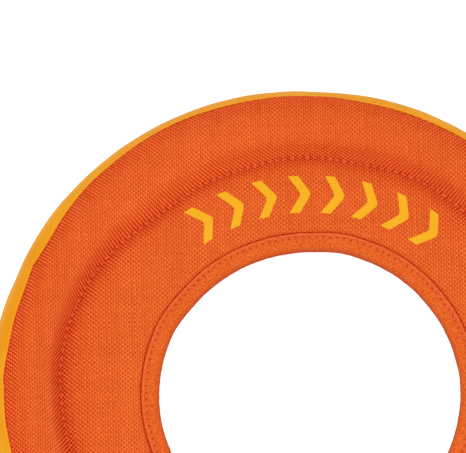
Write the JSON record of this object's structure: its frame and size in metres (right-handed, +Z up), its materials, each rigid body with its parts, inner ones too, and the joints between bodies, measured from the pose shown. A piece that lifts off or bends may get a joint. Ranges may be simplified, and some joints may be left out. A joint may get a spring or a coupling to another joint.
{
  "type": "flying ring",
  "caption": "Soft cloth-covered foam flying ring with a padded rolled rim, a flat stitched web, a tape-bound round hole and a smooth band round its outer edge.",
  "frame": {"origin": "on the floor, under the centre of the hole", "axes": "+Z up along the ring's axis, out of the printed face; +Y from the hole towards the middle of the print"},
  "size_m": [0.3, 0.3, 0.033],
  "materials": {
    "cover_cloth": "coarse plain weave, semi-matt",
    "edge_rubber": "smooth coated cloth, satin",
    "binding_tape": "fine smooth tape, semi-matt",
    "foam": "closed-cell foam, matt",
    "print_ink": "screen-print film, satin",
    "thread": "twisted polyester thread, slight sheen",
    "band_thread": "twisted polyester thread, slight sheen"
  },
  "bodies": {
    "root": {"top_cover": "cover_cloth", "bottom_cover": "cover_cloth", "side_band": "edge_rubber", "hole_binding": "binding_tape", "core_foam": "foam", "upper_rim_foam": "foam", "lower_rim_foam": "foam", "top_print": "print_ink", "binding_needle_thread": "thread", "binding_bobbin_thread": "thread", "groove_needle_thread": "thread", "groove_bobbin_thread": "thread", "top_seam_thread": "thread", "bottom_seam_thread": "thread", "band_join_thread": "band_thread", "binding_tack_thread": "thread"}
  },
  "joints": []
}
